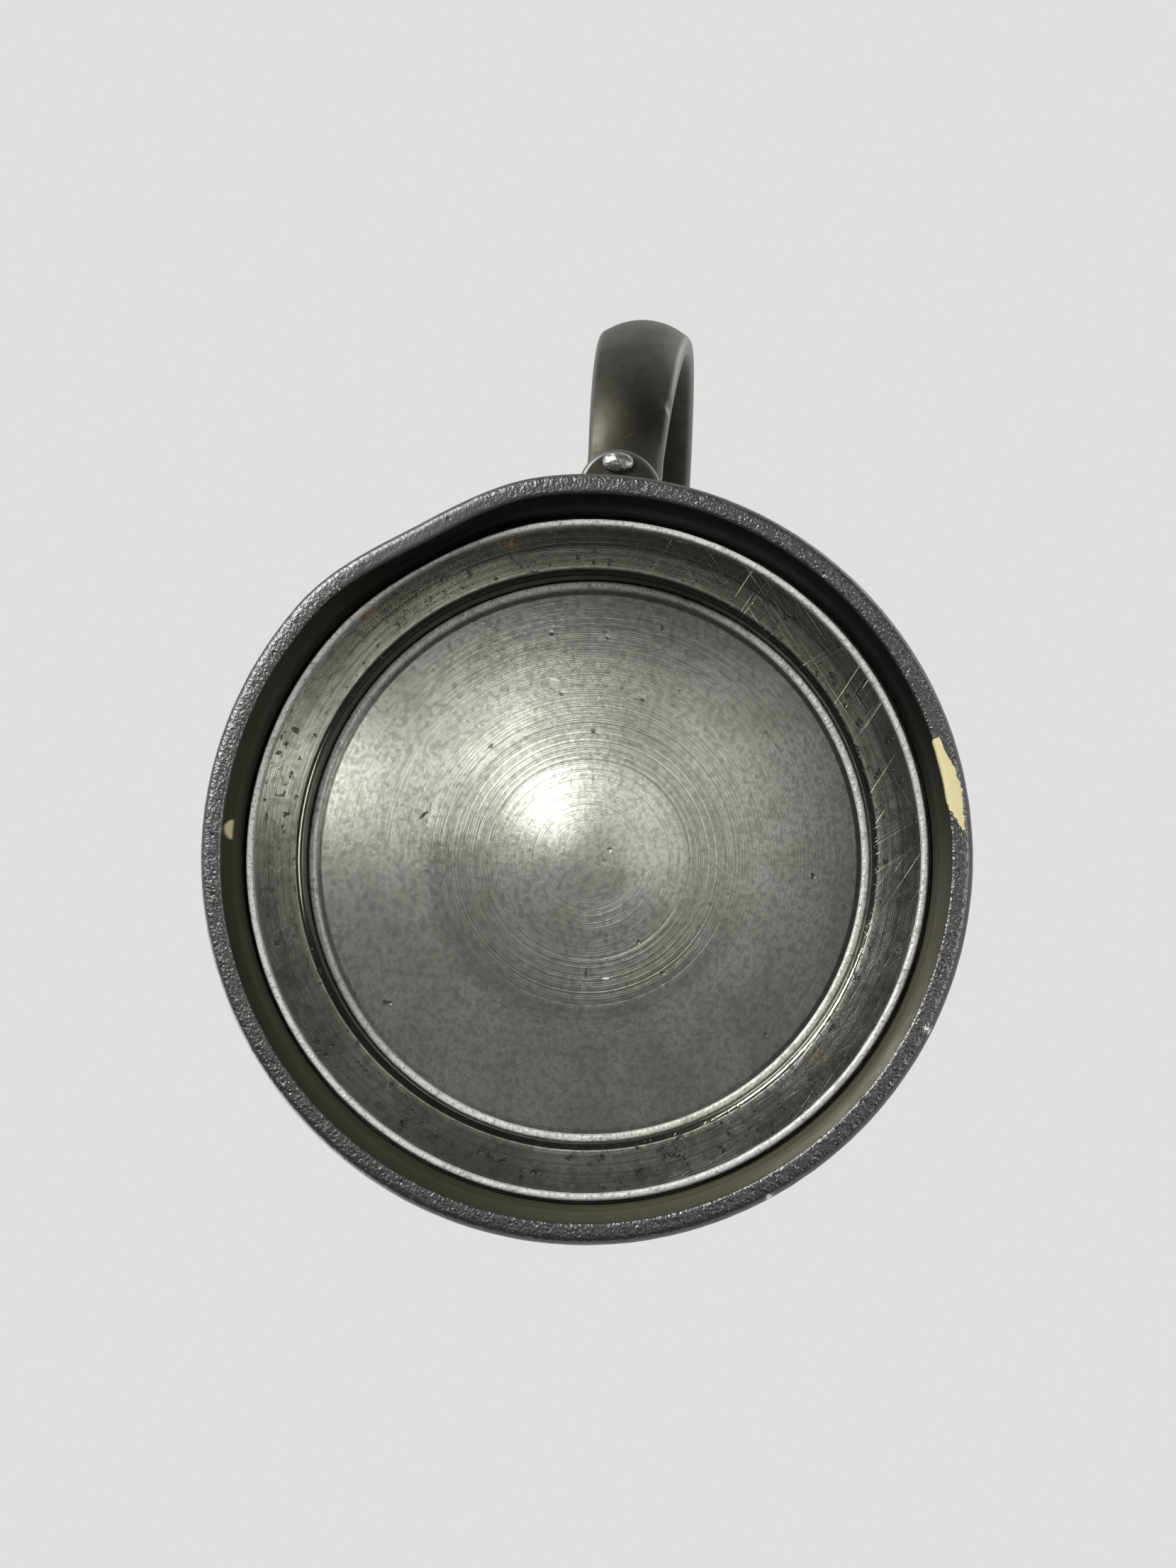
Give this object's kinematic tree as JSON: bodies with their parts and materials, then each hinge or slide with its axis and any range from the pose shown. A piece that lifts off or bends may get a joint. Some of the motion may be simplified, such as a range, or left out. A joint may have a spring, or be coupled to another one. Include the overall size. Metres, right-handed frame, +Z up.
{
  "type": "tankard",
  "caption": "Lidless pewter tankard with a tapered drum, flared foot, stepped base and a riveted strap handle, for drinking from.",
  "frame": {"origin": "middle of the whole footprint, handle counted in, at the height of the surface that the foot stands on", "axes": "+Z up along the drum, +X from the drum towards the handle, +Y to the side so that the frame is right-handed"},
  "size_m": [0.1438, 0.1088, 0.115],
  "materials": {
    "body_pewter": "satin",
    "foot_pewter": "matte",
    "base_pewter": "satin",
    "handle_pewter": "satin",
    "solder": "satin",
    "rivet_metal": "satin"
  },
  "bodies": {
    "root": {"drum": "body_pewter", "lip_band": "body_pewter", "girdle_band": "body_pewter", "foot_ring": "foot_pewter", "base_collar": "base_pewter", "base_plate": "base_pewter", "foot_seam": "solder", "base_seam": "solder", "handle_strap": "handle_pewter", "handle_lug": "handle_pewter", "handle_rivet": "rivet_metal", "upper_root_solder": "solder", "lower_root_solder": "solder"}
  },
  "joints": []
}
